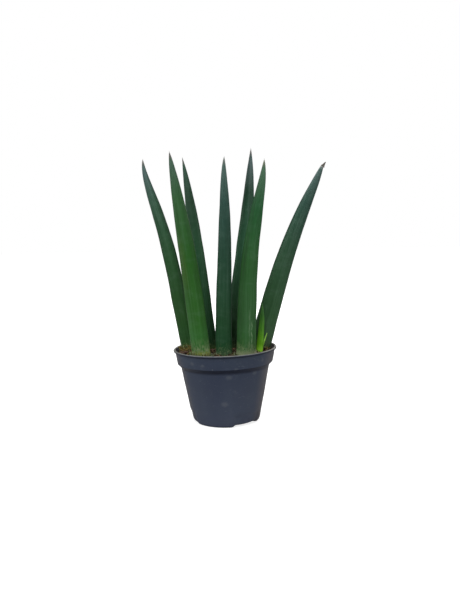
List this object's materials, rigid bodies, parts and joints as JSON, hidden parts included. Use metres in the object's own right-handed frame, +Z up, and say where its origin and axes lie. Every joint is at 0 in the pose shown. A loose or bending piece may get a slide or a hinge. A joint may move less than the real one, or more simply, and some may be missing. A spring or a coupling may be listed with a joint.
{
  "type": "potted snake plant",
  "caption": "Young snake plant with stout, channelled, pointed upright leaves and a small shoot, in a dark tapered nursery pot filled with bark potting mix.",
  "frame": {"origin": "centre of the pot's flat foot, on the surface it stands on", "axes": "+Z up along the pot's axis, -Y towards the front, +X to the right seen from the front"},
  "size_m": [0.216, 0.1212, 0.3206],
  "materials": {
    "pot_plastic": "matte to satin dark blue-grey injection-moulded plastic with faint pale scuffs",
    "potting_mix": "moist crumbly bark and peat mix",
    "leaf_skin_dark": "firm waxy dark green skin with faint cross bands and fine lengthwise lines, dry grey-brown tips",
    "leaf_skin_bright": "firm waxy mid green skin with faint cross bands and fine lengthwise lines, pale mottled foot",
    "young_leaf": "soft satin yellow-green",
    "dry_sheath": "dry fibrous papery sheath remains",
    "bark": "rough split bark"
  },
  "bodies": {
    "root": {"pot": "pot_plastic", "potting_soil": "potting_mix", "leaf_far_left": "leaf_skin_dark", "leaf_left_front": "leaf_skin_bright", "leaf_left_back": "leaf_skin_dark", "leaf_centre": "leaf_skin_dark", "leaf_right_back": "leaf_skin_dark", "leaf_right_front": "leaf_skin_bright", "leaf_far_right": "leaf_skin_dark", "shoot_blade": "young_leaf", "shoot_side_blade": "young_leaf", "dry_scale_far_left": "dry_sheath", "dry_scale_left_front": "dry_sheath", "dry_scale_right_front": "dry_sheath", "bark_chip_1": "bark", "bark_chip_2": "bark", "bark_chip_3": "bark", "bark_chip_4": "bark", "bark_chip_5": "bark", "bark_chip_6": "bark"}
  },
  "joints": []
}
